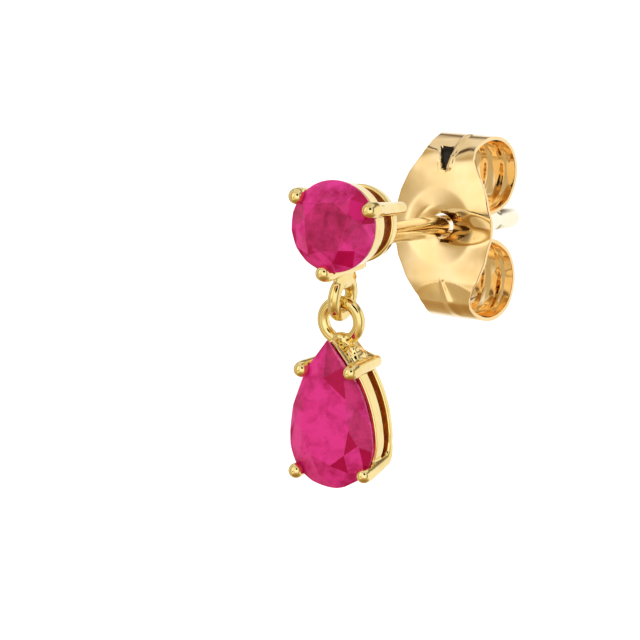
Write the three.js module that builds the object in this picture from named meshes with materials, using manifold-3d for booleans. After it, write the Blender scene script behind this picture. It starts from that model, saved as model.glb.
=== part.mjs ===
// A drop stud earring for a pierced ear: a round ruby in a three-prong basket on a post, a pear-cut
// ruby that hangs from it on a soldered ring, and a scrolled butterfly back on the post.
// Millimetres, +Z up. The origin is on the post's axis, level with the rear edge of the stud's basket,
// which lies against the ear. The stones face -Y and the post runs along +Y.
import * as THREE from "three";
import { ConvexGeometry } from "three/addons/geometries/ConvexGeometry.js";
import { mergeVertices } from "three/addons/utils/BufferGeometryUtils.js";
import Module from "manifold-3d";

const wasm = await Module();
wasm.setup();

const DEG = Math.PI / 180;
const GAP = 0.04; // running gap that every piece keeps to its neighbour

// The round stone and its basket, measured from the stone's axis, before the basket is rolled.
const stud = {
  stoneHeight: 0.45, // the stone's axis above the post's
  roll: -8.5 * DEG, // the basket is turned on its axis, so that its loop hangs to one side
  girdleY: -2.18,
  frontRail: { y0: -2.0, y1: -1.2, r0: 1.47, r1: 1.4, wall: 0.5 },
  backRail: { y0: -0.42, y1: 0, r0: 1.31, r1: 1.28, wall: 0.45 },
  inside: { y0: -1.3, y1: -0.3, r0: 1.18, r1: 1.1, wall: 0.3 }, // the recess between the rails
  prongAngles: [30, 150, 270],
};
const roundStone = { radius: 1.525, girdle: 0.12, table: 0.86, crown: 0.45, pavilion: 1.22 };
const starSpread = 0.5; // how far the stars reach from the table to the girdle
const lowerSpread = 0.65; // how far the lower girdle facets reach from the girdle to the culet
const studProng = [
  { radial: 1.4, y: 0.2, r: 0.2 },
  { radial: 1.43, y: -0.6, r: 0.22 },
  { radial: 1.53, y: -1.7, r: 0.25 },
  { radial: 1.6, y: -2.2, r: 0.27 },
  { radial: 1.57, y: -2.48, r: 0.27 },
];
const bridge = { drop: 0.45, height: 0.8, y0: -0.4, y1: -0.02, reach: 1.27 };

// The post, with the friction groove near its tip and the solder collar at its foot.
const post = { radius: 0.365, tip: 11.15, grooveY: 9.62, grooveWidth: 0.24, grooveDepth: 0.035 };
const collar = { flange: 0.12, front: -0.3, fillet: 0.2 };
const tipRounding = [
  { share: 1, back: 0.18 },
  { share: 0.92, back: 0.07 },
  { share: 0.72, back: 0.015 },
];

// The loop below the basket and the ring that hangs in it.
const loop = { radius: 0.61, wire: 0.21, y: -0.8, drop: 2.44 };
const loopSolder = { at: [0, -0.8, -1.84], size: [0.19, 0.78, 0.36] };
const ring = { radius: 0.655, wire: 0.205 };

// The pear stone and its basket, in the drop's own frame: the origin is the ring's centre.
const pearStone = { length: 5.0, halfWidth: 1.5, girdle: 0.12, crown: 0.42, pavilion: 1.15 };
const drop = {
  tilt: 9 * DEG, // the stone's weight is in front of the ring, so the foot swings back
  lean: 2 * DEG, // it hangs a little off plumb, with its foot to the loop's side
  girdleY: -1.04,
  tipZ: -0.41,
  frontRail: { y0: 0.46, y1: 1.08, inset0: 0.06, inset1: 0.09, wall: 0.45 },
  backRail: { y0: 1.62, y1: 1.9, inset0: 0.14, inset1: 0.17, wall: 0.4 },
  inside: { y0: 0.3, y1: 1.7, inset0: 0.27, inset1: 0.38, wall: 0.3 }, // the recess beside the rails
};
// Each crown and pavilion layer of the pear, by its inset and its share of the depth.
const pearTable = { inset: 0.66 };
const pearStar = { inset: 0.3, share: 0.62 };
const pearKeel = { inset: 0.85, share: 0.62 };
// Where the pear's prongs stand: each pair by the turn of the outline's normal above the horizontal,
// and each station by its distance along the outline towards the foot, outside it, and behind the
// girdle plane. The lower pair turns up at the back and runs into the back rail.
const upperProngs = {
  turn: 30.5 * DEG,
  stations: [
    { along: 0, out: -0.02, y: 1.8, r: 0.215 },
    { along: 0, out: 0.04, y: 0.9, r: 0.23 },
    { along: 0, out: 0.11, y: 0, r: 0.25 },
    { along: 0, out: 0.09, y: -0.24, r: 0.25 },
  ],
};
const lowerProngs = {
  turn: -35.5 * DEG,
  stations: [
    { along: 0, out: -0.1, y: 1.58, r: 0.215 },
    { along: 0.03, out: 0, y: 0.9, r: 0.215 },
    { along: 0.05, out: 0.11, y: 0, r: 0.235 },
    { along: 0.05, out: 0.1, y: -0.24, r: 0.24 },
  ],
  elbow: [
    { along: -0.5, out: -0.29, y: 1.64, r: 0.16 },
    { along: -0.26, out: -0.18, y: 1.63, r: 0.19 },
    { along: 0, out: -0.1, y: 1.58, r: 0.215 },
  ],
};
// Solder that set round the ring's seat and between the pear's tip and its upper prongs.
const ringSolder = [
  { at: [0, 0.98, -0.2], size: [0.3, 0.24, 0.2] },
  { at: [0.56, 0.72, -0.56], size: [0.2, 0.2, 0.2] },
  { at: [0.32, 1.0, -0.36], size: [0.3, 0.26, 0.24] },
  { at: [0.78, 1.3, -0.78], size: [0.28, 0.3, 0.3] },
  { at: [-0.32, 1.0, -0.36], size: [0.3, 0.26, 0.24] },
  { at: [-0.78, 1.3, -0.78], size: [0.28, 0.3, 0.3] },
];

// The butterfly back: one strip of sheet, dished round its hole, with both ends scrolled to the post.
const clutch = {
  holeY: 6.04,
  holeRadius: 0.425,
  yaw: 7.5 * DEG, // it sits a little askew on the post
  roll: 3 * DEG,
  upperLean: 1 * DEG,
  lowerLean: -2.5 * DEG,
  thickness: 0.12,
  sideShift: 0.1, // the strip's middle beside its hole
  upperScroll: 1.25, // radius of each scroll at mid-thickness
  lowerScroll: 1.29,
  scrollEnd: 286 * DEG,
  dishDepth: 0.3,
  punchDepth: 0.8,
};
// The dish: a shallow cone about the hole, and inside it a steeper funnel that is drawn out to the
// strip's edge on one side.
const dishCone = { radius: 1.3, eased: 0.06, depth: 0.12 };
const funnel = { inner: 1.0, outer: 2.3, halfHeight: 0.75, slope: 0.8 };
// The crease over each curl, by the angles round the scroll between which it fades in and out.
const crease = { depth: 0.05, halfWidth: 0.12, start: -20, end: 115 };
// Half width of the strip, first by height on the flat plate, then by angle round the scroll.
const plateWidths = [
  { z: 0, half: 2.0 },
  { z: 0.35, half: 1.93 },
  { z: 0.7, half: 1.8 },
  { z: 1.1, half: 1.7 },
  { z: 1.45, half: 1.53 },
];
const scrollWidths = [
  { angle: 0, half: 1.4 },
  { angle: 14, half: 1.18 },
  { angle: 28, half: 1.01 },
  { angle: 45, half: 0.92 },
  { angle: 62, half: 0.96 },
  { angle: 90, half: 1.08 },
  { angle: 135, half: 1.2 },
  { angle: 180, half: 1.23 },
  { angle: 225, half: 1.19 },
  { angle: 286, half: 0.92 },
];

const gold = { color: 0xf0cf86, metalness: 1, roughness: 0.12 };
const ruby = { color: 0xc4166b, metalness: 0, roughness: 0.08 };

// ---------------------------------------------------------------- solids

function toSolid(geometry) {
  const bare = new THREE.BufferGeometry();
  bare.setAttribute("position", geometry.getAttribute("position").clone());
  if (geometry.index) bare.setIndex(geometry.index.clone());
  const merged = mergeVertices(bare, 1e-5);
  return new wasm.Manifold(
    new wasm.Mesh({
      numProp: 3,
      vertProperties: new Float32Array(merged.attributes.position.array),
      triVerts: new Uint32Array(merged.index.array),
    }),
  );
}

function toGeometry(solid) {
  const mesh = solid.getMesh();
  const geometry = new THREE.BufferGeometry();
  geometry.setAttribute("position", new THREE.BufferAttribute(mesh.vertProperties, 3));
  geometry.setIndex(new THREE.BufferAttribute(mesh.triVerts, 1));
  return geometry;
}

// Soldered pieces are one body of metal.
function solder(geometries) {
  return geometries.map(toSolid).reduce((whole, piece) => whole.add(piece));
}

// A drop of solder, as it sets: its middle and its half sizes.
function solderDrop({ at, size }) {
  return new THREE.SphereGeometry(1, 20, 12).scale(...size).translate(...at);
}

// A closed skin over rings of equally many points. A looped skin joins its last ring to its first;
// any other is closed at each end by a fan to that end's apex.
function skin(rings, apexes) {
  const sides = rings[0].length;
  const points = rings.flat();
  const faces = [];
  const spans = apexes ? rings.length - 1 : rings.length;
  for (let i = 0; i < spans; i++) {
    const near = i * sides;
    const far = ((i + 1) % rings.length) * sides;
    for (let j = 0; j < sides; j++) {
      const k = (j + 1) % sides;
      faces.push([near + j, near + k, far + k], [near + j, far + k, far + j]);
    }
  }
  if (apexes) {
    const last = (rings.length - 1) * sides;
    const [start, end] = [points.length, points.length + 1];
    points.push(...apexes);
    for (let j = 0; j < sides; j++) {
      const k = (j + 1) % sides;
      faces.push([start, k, j], [end, last + j, last + k]);
    }
  }
  return facedOutwards(points, faces);
}

// The faces as a geometry, turned round if they enclose a negative volume.
function facedOutwards(points, faces) {
  const volume = faces.reduce((sum, [a, b, c]) => {
    const across = new THREE.Vector3().crossVectors(points[b], points[c]);
    return sum + points[a].dot(across);
  }, 0);
  const index = volume < 0 ? faces.map(([a, b, c]) => [a, c, b]) : faces;
  const geometry = new THREE.BufferGeometry().setFromPoints(points);
  geometry.setIndex(index.flat());
  return geometry;
}

// A drawn wire through stations { at, r }, with a round nose of the end's own radius at each end.
function wire(stations, sides) {
  const first = stations[0];
  const last = stations[stations.length - 1];
  const startAxis = first.at.clone().sub(stations[1].at).normalize();
  const endAxis = last.at.clone().sub(stations[stations.length - 2].at).normalize();
  const nose = [30 * DEG, 60 * DEG];
  const noseRing = (station, axis, angle) => ({
    at: station.at.clone().addScaledVector(axis, station.r * Math.sin(angle)),
    r: station.r * Math.cos(angle),
  });
  const along = [
    ...nose.toReversed().map((angle) => noseRing(first, startAxis, angle)),
    ...stations,
    ...nose.map((angle) => noseRing(last, endAxis, angle)),
  ];
  const axis = last.at.clone().sub(first.at).normalize();
  const side = new THREE.Vector3(axis.z, axis.x, axis.y).cross(axis).normalize();
  const up = new THREE.Vector3().crossVectors(axis, side);
  const rings = along.map(({ at, r }) =>
    Array.from({ length: sides }, (_, j) => {
      const turn = (j / sides) * 2 * Math.PI;
      return at
        .clone()
        .addScaledVector(side, r * Math.cos(turn))
        .addScaledVector(up, r * Math.sin(turn));
    }),
  );
  return skin(rings, [
    first.at.clone().addScaledVector(startAxis, first.r),
    last.at.clone().addScaledVector(endAxis, last.r),
  ]);
}

// A rail: a closed band between an outer and an inner outline, from one depth to another.
function rail(outlineAt, { y0, y1, wall }, size0, size1) {
  const at = (outline, y) => outline.map(([x, z]) => new THREE.Vector3(x, y, z));
  return skin([
    at(outlineAt(size0), y0),
    at(outlineAt(size1), y1),
    at(outlineAt(size1, wall), y1),
    at(outlineAt(size0, wall), y0),
  ]);
}

// ---------------------------------------------------------------- outlines

function circleOutline(radius, inset = 0, count = 40) {
  return Array.from({ length: count }, (_, i) => {
    const turn = (i / count) * 2 * Math.PI;
    return [(radius - inset) * Math.cos(turn), (radius - inset) * Math.sin(turn)];
  });
}

// A pear with its tip at the origin and its round end below, drawn in by an inset: a half circle
// and two wide arcs that meet at the tip.
const pearRise = pearStone.length - pearStone.halfWidth; // the tip above the half circle's centre
const pearSide = (pearStone.halfWidth ** 2 + pearRise ** 2) / (2 * pearStone.halfWidth);

// The point of the pear's outline whose normal points this far above the horizontal.
function pearPoint(turn, inwards, mirror = 1) {
  const centre = turn > 0 ? pearSide - pearStone.halfWidth : 0;
  const radius = (turn > 0 ? pearSide : pearStone.halfWidth) - inwards;
  return [mirror * (radius * Math.cos(turn) - centre), radius * Math.sin(turn) - pearRise];
}

function pearOutline(inset, wall = 0, headSteps = 16, sideSteps = 8) {
  const inwards = inset + wall;
  const tipTurn = Math.acos((pearSide - pearStone.halfWidth) / (pearSide - inwards));
  const side = Array.from({ length: sideSteps }, (_, i) => tipTurn * (1 - i / sideSteps));
  const head = Array.from({ length: headSteps }, (_, i) => (-i / headSteps) * Math.PI);
  return [
    ...side.map((turn) => pearPoint(turn, inwards)),
    ...head.map((turn) => pearPoint(turn, inwards)),
    pearPoint(0, inwards, -1),
    ...side.slice(1).toReversed().map((turn) => pearPoint(turn, inwards, -1)),
  ];
}

// ---------------------------------------------------------------- stones

// A round brilliant about the Y axis with its girdle's middle at the origin and its table at -Y.
// The grow distance swells it, to cut its seat.
function roundBrilliant(grow = 0) {
  const radius = roundStone.radius + grow;
  const crown = roundStone.crown + grow;
  const table = roundStone.table + grow;
  const pavilion = roundStone.pavilion + grow * 2;
  const half = roundStone.girdle / 2 + grow;
  const points = [new THREE.Vector3(0, half + pavilion, 0)];
  const add = (r, turn, y) =>
    points.push(new THREE.Vector3(r * Math.cos(turn), y, r * Math.sin(turn)));
  const starRadius = table + (radius - table) * starSpread;
  const culetRadius = radius * (1 - lowerSpread);
  const apothem = Math.cos(22.5 * DEG); // of the eight-sided table, for a corner at 1
  for (let k = 0; k < 8; k++) {
    const main = k * 45 * DEG;
    const between = main + 22.5 * DEG;
    add(table, main, -half - crown);
    const starHeight = (radius - starRadius * apothem) / (radius - table);
    add(starRadius, between, -half - crown * starHeight);
    add(culetRadius, between, half + pavilion * (1 - (1 - lowerSpread) * apothem));
  }
  for (let k = 0; k < 32; k++) {
    add(radius, k * 11.25 * DEG, -half);
    add(radius, k * 11.25 * DEG, half);
  }
  return new ConvexGeometry(points);
}

// A pear brilliant, tip at the origin, with its girdle's middle in the plane y = 0.
function pearBrilliant(grow = 0) {
  const half = pearStone.girdle / 2 + grow;
  const crown = pearStone.crown + grow;
  const pavilion = pearStone.pavilion + grow * 2;
  const layers = [
    { inset: pearTable.inset, y: -half - crown },
    { inset: pearStar.inset, y: -half - crown * pearStar.share },
    { inset: 0, y: -half },
    { inset: 0, y: half },
    { inset: pearKeel.inset, y: half + pavilion * pearKeel.share },
  ];
  const points = layers.flatMap(({ inset, y }) =>
    pearOutline(inset - grow).map(([x, z]) => new THREE.Vector3(x, y, z)),
  );
  points.push(new THREE.Vector3(0, half + pavilion, -pearRise));
  return new ConvexGeometry(points);
}

// ---------------------------------------------------------------- the stud

function studProngGeometry(degrees) {
  const turn = degrees * DEG;
  const stations = studProng.map(({ radial, y, r }) => ({
    at: new THREE.Vector3(radial * Math.cos(turn), y, radial * Math.sin(turn)),
    r,
  }));
  return wire(stations, 14);
}

// The bar across the back rail that carries the post.
function bridgeSolid() {
  const { drop: below, height, y0, y1, reach } = bridge;
  const bar = new THREE.BoxGeometry(2 * reach, y1 - y0, height);
  bar.translate(0, (y0 + y1) / 2, -below);
  const inside = new THREE.CylinderGeometry(reach, reach, 1, 40);
  return toSolid(bar).intersect(toSolid(inside));
}

function postGeometry() {
  const { radius, tip, grooveY, grooveWidth, grooveDepth } = post;
  const profile = [
    [0, collar.front],
    [radius + collar.flange, collar.front],
    [radius + collar.flange, 0],
    [radius + collar.flange / 3, collar.fillet / 3],
    [radius, collar.fillet],
    [radius, grooveY - grooveWidth],
    [radius - grooveDepth, grooveY - grooveWidth / 2],
    [radius - grooveDepth, grooveY + grooveWidth / 2],
    [radius, grooveY + grooveWidth],
    ...tipRounding.map(({ share, back }) => [radius * share, tip - back]),
    [0, tip],
  ].map(([x, y]) => new THREE.Vector2(x, y));
  return new THREE.LatheGeometry(profile, 24);
}

function loopGeometry() {
  const torus = new THREE.TorusGeometry(loop.radius, loop.wire, 12, 30);
  torus.rotateY(90 * DEG);
  torus.translate(0, loop.y, -loop.drop);
  return torus;
}

function studSetting() {
  const rails = [stud.frontRail, stud.inside, stud.backRail];
  const basket = solder([
    ...rails.map((band) => rail(circleOutline, band, band.r0, band.r1)),
    ...stud.prongAngles.map(studProngGeometry),
    loopGeometry(),
    solderDrop(loopSolder),
  ]).add(bridgeSolid());
  const seat = toSolid(roundBrilliant(GAP).translate(0, stud.girdleY, 0));
  const head = toGeometry(basket.subtract(seat));
  head.rotateY(-stud.roll);
  head.translate(0, 0, stud.stoneHeight);
  return toGeometry(toSolid(head).add(toSolid(postGeometry())));
}

// ---------------------------------------------------------------- the drop

function pearProngGeometry(turn, stations, mirror) {
  const footwards = [mirror * Math.sin(turn), -Math.cos(turn)];
  const placed = stations.map(({ along, out, y, r }) => {
    const [x, z] = pearPoint(turn, -out, mirror);
    return { at: new THREE.Vector3(x + along * footwards[0], y, z + along * footwards[1]), r };
  });
  return wire(placed, 14);
}

function dropSetting() {
  const rails = [drop.frontRail, drop.inside, drop.backRail];
  const prongs = [1, -1].flatMap((mirror) => [
    pearProngGeometry(upperProngs.turn, upperProngs.stations, mirror),
    pearProngGeometry(lowerProngs.turn, lowerProngs.stations, mirror),
    pearProngGeometry(lowerProngs.turn, lowerProngs.elbow, mirror),
  ]);
  const basket = solder([
    ...rails.map((band) => rail(pearOutline, band, band.inset0, band.inset1)),
    ...prongs,
    ...ringSolder.map(solderDrop),
  ]).subtract(toSolid(pearBrilliant(GAP)));
  const seated = toGeometry(basket).translate(0, drop.girdleY, drop.tipZ);
  const ringTorus = new THREE.TorusGeometry(ring.radius, ring.wire, 12, 30);
  ringTorus.rotateX(90 * DEG);
  return toGeometry(toSolid(seated).add(toSolid(ringTorus)));
}

// ---------------------------------------------------------------- the butterfly back

const scrollBase = post.radius + GAP + clutch.thickness / 2; // where a scroll passes the post
const plateY = -clutch.dishDepth; // the plate's mid-thickness in front of the hole

// The half width at a value of the table's key, on the straight line between its two rows.
function between(table, key, value) {
  const next = table.findIndex((row) => row[key] >= value - 1e-9);
  if (next === 0) return table[0].half;
  const [a, b] = [table[next - 1], table[next]];
  return a.half + ((b.half - a.half) * (value - a[key])) / (b[key] - a[key]);
}

// Stations of one wing from the middle of the plate to the end of its scroll.
function wingStations(scroll) {
  const axisZ = scrollBase + scroll;
  const widths = [...plateWidths, { z: axisZ, half: scrollWidths[0].half }];
  const plate = plateSteps.map((z) => ({
    y: plateY,
    z,
    half: between(widths, "z", z),
    angle: 0,
  }));
  const curl = Array.from({ length: scrollSteps + 1 }, (_, i) => {
    const angle = (clutch.scrollEnd * i) / scrollSteps;
    return {
      y: plateY + scroll * (1 - Math.cos(angle)),
      z: axisZ + scroll * Math.sin(angle),
      half: between(scrollWidths, "angle", angle / DEG),
      angle,
    };
  });
  return [...plate, ...curl];
}

// Where the sheet's surface is worked out: heights on the plate, steps round a scroll, and shares of
// the half width.
const plateSteps = [0, 0.15, 0.3, 0.45, 0.6, 0.75, 0.9, 1.05, 1.2, 1.32, 1.46];
const scrollSteps = 22;
const acrossSteps = [-1, -0.85, -0.7, -0.58, -0.47, -0.36, -0.26, -0.16, -0.07, 0.02, 0.12, 0.23, 0.35, 0.47, 0.6, 0.8, 1];

function smooth(t) {
  const x = Math.min(Math.max(t, 0), 1);
  return x * x * (3 - 2 * x);
}

// How far back the sheet is pressed at a place on the plate.
function dishAt(x, z) {
  const inwards = dishCone.radius - Math.hypot(x, z);
  const eased = (inwards + Math.hypot(inwards, dishCone.eased)) / 2;
  const cone = (dishCone.depth * eased) / (dishCone.radius - clutch.holeRadius);
  const reach = Math.hypot(x / (x > 0 ? funnel.outer : funnel.inner), z / funnel.halfHeight);
  const deep = smooth((1 - reach) / funnel.slope);
  return Math.min(cone, dishCone.depth) + (clutch.dishDepth - dishCone.depth) * deep;
}

// A point at mid-thickness of the sheet, with the dish round the hole and the crease over the curl.
function sheetPoint(station, up, across) {
  const z = station.z;
  const x = across * station.half + clutch.sideShift;
  const dish = station.angle === 0 ? dishAt(x, z) : 0;
  const share = (station.angle / DEG - crease.start) / (crease.end - crease.start);
  const creased = z > plateWidths.at(-1).z && share < 1 ? Math.sin(share * Math.PI) : 0;
  const pressed = crease.depth * creased * Math.exp(-((x / crease.halfWidth) ** 2));
  const lean = Math.tan(up > 0 ? clutch.upperLean : clutch.lowerLean);
  return new THREE.Vector3(
    x + up * z * lean,
    station.y + dish + pressed * Math.cos(station.angle),
    up * (z - pressed * Math.sin(station.angle)),
  );
}

function sheetGrid() {
  const row = (up) => (station) => acrossSteps.map((across) => sheetPoint(station, up, across));
  const lower = wingStations(clutch.lowerScroll).slice(1).toReversed();
  return [...lower.map(row(-1)), ...wingStations(clutch.upperScroll).map(row(1))];
}

// A closed sheet of even thickness about a grid of points at mid-thickness.
function thicken(grid, thickness) {
  const rows = grid.length;
  const columns = grid[0].length;
  const normal = (i, j) => {
    const along = grid[Math.min(i + 1, rows - 1)][j].clone().sub(grid[Math.max(i - 1, 0)][j]);
    const over = grid[i][Math.min(j + 1, columns - 1)].clone().sub(grid[i][Math.max(j - 1, 0)]);
    return along.cross(over).normalize();
  };
  const layer = (offset) =>
    grid.flatMap((line, i) =>
      line.map((point, j) => point.clone().addScaledVector(normal(i, j), offset)),
    );
  const points = [...layer(thickness / 2), ...layer(-thickness / 2)];
  const id = (side, i, j) => side * rows * columns + i * columns + j;
  const faces = [];
  const quad = (a, b, c, d) => faces.push([a, b, c], [a, c, d]);
  for (let i = 0; i < rows - 1; i++) {
    for (let j = 0; j < columns - 1; j++) {
      quad(id(0, i, j), id(0, i + 1, j), id(0, i + 1, j + 1), id(0, i, j + 1));
      quad(id(1, i, j), id(1, i, j + 1), id(1, i + 1, j + 1), id(1, i + 1, j));
    }
    quad(id(0, i, 0), id(1, i, 0), id(1, i + 1, 0), id(0, i + 1, 0));
    const j = columns - 1;
    quad(id(0, i, j), id(0, i + 1, j), id(1, i + 1, j), id(1, i, j));
  }
  for (let j = 0; j < columns - 1; j++) {
    quad(id(0, 0, j), id(0, 0, j + 1), id(1, 0, j + 1), id(1, 0, j));
    const i = rows - 1;
    quad(id(0, i, j), id(1, i, j), id(1, i, j + 1), id(0, i, j + 1));
  }
  return facedOutwards(points, faces);
}

function butterflyBack() {
  const sheet = toSolid(thicken(sheetGrid(), clutch.thickness));
  const { holeRadius, punchDepth } = clutch;
  const punch = new THREE.CylinderGeometry(holeRadius, holeRadius, punchDepth, 24);
  return toGeometry(sheet.subtract(toSolid(punch)));
}

// ---------------------------------------------------------------- assembly

function piece(name, geometry, look) {
  const mesh = new THREE.Mesh(geometry, new THREE.MeshStandardMaterial(look));
  mesh.name = name;
  return mesh;
}

const studGroup = new THREE.Group();
studGroup.add(piece("stud_setting", studSetting(), gold));
const roundRuby = piece("round_ruby", roundBrilliant(), ruby);
roundRuby.rotation.y = -stud.roll;
roundRuby.position.set(0, stud.girdleY, stud.stoneHeight);
studGroup.add(roundRuby);

// The ring's top rests in the lowest bend of the loop.
const bend = new THREE.Vector3(0, loop.y, -loop.drop - loop.radius);
bend.applyAxisAngle(new THREE.Vector3(0, 1, 0), -stud.roll);
bend.z += stud.stoneHeight;
const hang = loop.wire + ring.wire + GAP;

const dropGroup = new THREE.Group();
dropGroup.rotation.set(drop.tilt, drop.lean, 0, "YXZ");
const ringTop = new THREE.Vector3(0, 0, ring.radius).applyEuler(dropGroup.rotation);
const pull = new THREE.Vector3(0, 0, hang).applyEuler(dropGroup.rotation).setY(0);
dropGroup.position.copy(bend).add(pull).sub(ringTop);
dropGroup.add(piece("drop_setting", dropSetting(), gold));
const pearRuby = piece("pear_ruby", pearBrilliant(), ruby);
pearRuby.position.set(0, drop.girdleY, drop.tipZ);
dropGroup.add(pearRuby);

const clutchGroup = new THREE.Group();
clutchGroup.rotation.set(0, clutch.roll, -clutch.yaw, "ZYX");
clutchGroup.position.set(0, clutch.holeY, 0);
clutchGroup.add(piece("butterfly_back", butterflyBack(), gold));

const earring = new THREE.Group();
earring.add(studGroup, dropGroup, clutchGroup);

export default earring;
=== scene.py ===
import math

import bpy
from mathutils import Matrix, Vector


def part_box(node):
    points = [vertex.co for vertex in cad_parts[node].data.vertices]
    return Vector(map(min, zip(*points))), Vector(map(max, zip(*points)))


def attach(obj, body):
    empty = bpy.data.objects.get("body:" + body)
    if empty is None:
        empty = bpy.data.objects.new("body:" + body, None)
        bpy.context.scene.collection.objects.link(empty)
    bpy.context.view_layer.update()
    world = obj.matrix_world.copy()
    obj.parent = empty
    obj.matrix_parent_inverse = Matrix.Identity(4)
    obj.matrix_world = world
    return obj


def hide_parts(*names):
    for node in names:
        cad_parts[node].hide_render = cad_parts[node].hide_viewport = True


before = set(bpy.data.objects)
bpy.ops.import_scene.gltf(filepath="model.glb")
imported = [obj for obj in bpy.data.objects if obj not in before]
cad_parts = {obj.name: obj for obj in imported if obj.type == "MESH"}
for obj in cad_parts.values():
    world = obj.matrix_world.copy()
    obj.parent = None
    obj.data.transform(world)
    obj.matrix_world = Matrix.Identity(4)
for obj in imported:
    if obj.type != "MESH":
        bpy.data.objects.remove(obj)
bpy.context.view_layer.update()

# A drop stud earring in polished yellow gold: a round ruby in a three-prong basket on a post, a pear
# ruby hung below it on a soldered ring, and a scrolled butterfly back. Shapes are worked out in
# millimetres with +Z up, the stones facing -Y and the post along +Y, and become metres at the end.
MM = 0.001
DEG = math.pi / 180

# ---------------------------------------------------------------- sizes, in millimetres

GAP = 0.04
RAIL_EDGE = {"stud": 0.06, "drop": 0.05, "inside": 0.03}  # how far the rails' edges are eased
# Buffing: the grain that the metal is worked in, the rounds of it, and the skin given back.
STUD_BUFFING = {"grain": 0.032, "rounds": 6, "worn": 0.003}
DROP_BUFFING = {"grain": 0.03, "rounds": 22, "worn": 0.001}
NOSE = (78 * DEG, 58 * DEG, 38 * DEG, 18 * DEG)  # rings of a wire's round nose, from its end

# The stud's basket, each height measured forwards from its back edge along the stone's axis.
STUD_ROLL = 8.5 * DEG
ROUND = {"radius": 1.525, "girdle": 0.12, "table": 0.86, "crown": 0.45, "pavilion": 1.22, "height": 2.18}
ROUND_TURN = -8.5  # degrees that the stone is turned in its seat
# Places on the front of the stone whose facets are painted with shade, in middle and in deep tone.
ROUND_MIDDLE = ((0.0, 0.0), (0.92, 0.68), (0.45, 0.82), (0.85, 0.2))
ROUND_DEEP = ((0.68, -0.92), (0.8, 1.02), (1.2, 0.42))
STUD_FRONT_RAIL = {"front": 2.0, "back": 1.2, "front_radius": 1.47, "back_radius": 1.4, "wall": 0.5}
STUD_BACK_RAIL = {"front": 0.42, "back": 0.0, "front_radius": 1.31, "back_radius": 1.28, "wall": 0.45}
STUD_INSIDE = {"front": 1.3, "back": 0.3, "front_radius": 1.2, "back_radius": 1.12, "wall": 0.3}
STUD_PRONG_TURNS = (30 * DEG, 150 * DEG, 270 * DEG)
# distance from the axis, height, wire radius
STUD_PRONG = ((1.4, -0.2, 0.2), (1.43, 0.6, 0.22), (1.53, 1.7, 0.25), (1.6, 2.2, 0.27), (1.57, 2.48, 0.27))
BRIDGE = {"below": 0.45, "height": 0.8, "front": 0.4, "back": 0.02, "reach": 0.95}
POST = {"radius": 0.365, "tip": 11.15, "groove": 9.62, "groove_width": 0.24, "groove_depth": 0.035}
COLLAR = {"flange": 0.12, "front": -0.3, "back": -0.02}  # of solder, at the post's foot
COLLAR_FILLET = ((0.08, 0.03), (0.03, 0.1), (0.0, 0.22))  # outside the post, and how far back
# share of the post's radius, and how far short of its tip
POST_END = ((1.0, 0.18), (0.985, 0.12), (0.94, 0.07), (0.87, 0.035), (0.76, 0.012), (0.6, 0.0), (0.0, 0.0))
LOOP = {"radius": 0.61, "wire": 0.21, "height": 0.8, "below": 2.44}
LOOP_SOLDER = ((0, -1.84, 0.8), (0.19, 0.36, 0.78))  # place and half sizes
RING = {"radius": 0.655, "wire": 0.205}

# The drop, which hangs with its foot swung back and a little to one side.
DROP_TILT = 9 * DEG
DROP_LEAN = 2 * DEG
PEAR = {"length": 5.0, "half_width": 1.5, "girdle": 0.12, "crown": 0.42, "pavilion": 1.15}
PEAR_TIP = Vector((0, -1.04, -0.41))
# Places on the front of the pear whose facets are painted with shade, in middle and in deep tone.
PEAR_MIDDLE = ((0.3, -0.38), (0.41, -0.29), (1.14, -2.73), (1.11, -1.68), (1.0, -2.0))
PEAR_DEEP = ((0.52, -1.3), (0.9, -3.35), (0.52, -4.12), (1.37, -3.64), (1.3, -4.18))
# corner of the table, then the turn of the outline's normal where its main facet meets the girdle
PEAR_MAINS = (
    ((0.02, -1.19), 90),
    ((0.82, -1.87), 20),
    ((0.86, -2.92), 2),
    ((0.66, -3.76), -37),
    ((0.14, -4.14), -84),
    ((-0.55, -3.82), -130),
    ((-0.84, -2.99), -176),
    ((-0.7, -1.9), 165),
)
PEAR_BETWEENS = (26, 8, -4, -43, -120, -153, 176, 150)  # turns where the girdle facets meet
PEAR_CULET = (0, -3.3)
# Depths are behind the girdle plane and insets are inside the stone's outline.
PEAR_FRONT_RAIL = {"front": 0.46, "back": 1.08, "front_inset": 0.06, "back_inset": 0.09, "wall": 0.45}
PEAR_BACK_RAIL = {"front": 1.62, "back": 1.9, "front_inset": 0.14, "back_inset": 0.17, "wall": 0.4}
PEAR_INSIDE = {"front": 0.3, "back": 1.7, "front_inset": 0.26, "back_inset": 0.37, "wall": 0.3}
UPPER_TURN = 30.5 * DEG
LOWER_TURN = -35.5 * DEG
# along the outline towards the foot, outside it, in front of the girdle plane, wire radius
UPPER_PRONG = (
    (0.0, -0.02, -1.8, 0.225),
    (0.0, 0.04, -0.9, 0.245),
    (0.0, 0.11, 0.0, 0.265),
    (0.0, 0.09, 0.24, 0.265),
)
LOWER_PRONG = (
    (0.0, -0.1, -1.58, 0.22),
    (0.03, -0.01, -0.9, 0.235),
    (0.05, 0.08, 0.0, 0.255),
    (0.05, 0.07, 0.24, 0.26),
)
ELBOW = (
    (-0.44, -0.3, -1.75, 0.15),
    (-0.2, -0.17, -1.7, 0.19),
    (0.0, -0.1, -1.58, 0.22),
)
# place and half sizes of the solder drops, from the pear's tip
RING_SOLDER = (
    ((0.0, -0.16, -0.98), (0.3, 0.22, 0.22)),
    ((0.5, -0.5, -0.82), (0.2, 0.2, 0.2)),
    ((0.55, -0.78, -0.95), (0.32, 0.32, 0.42)),
    ((-0.55, -0.78, -0.95), (0.28, 0.28, 0.42)),
)
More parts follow.
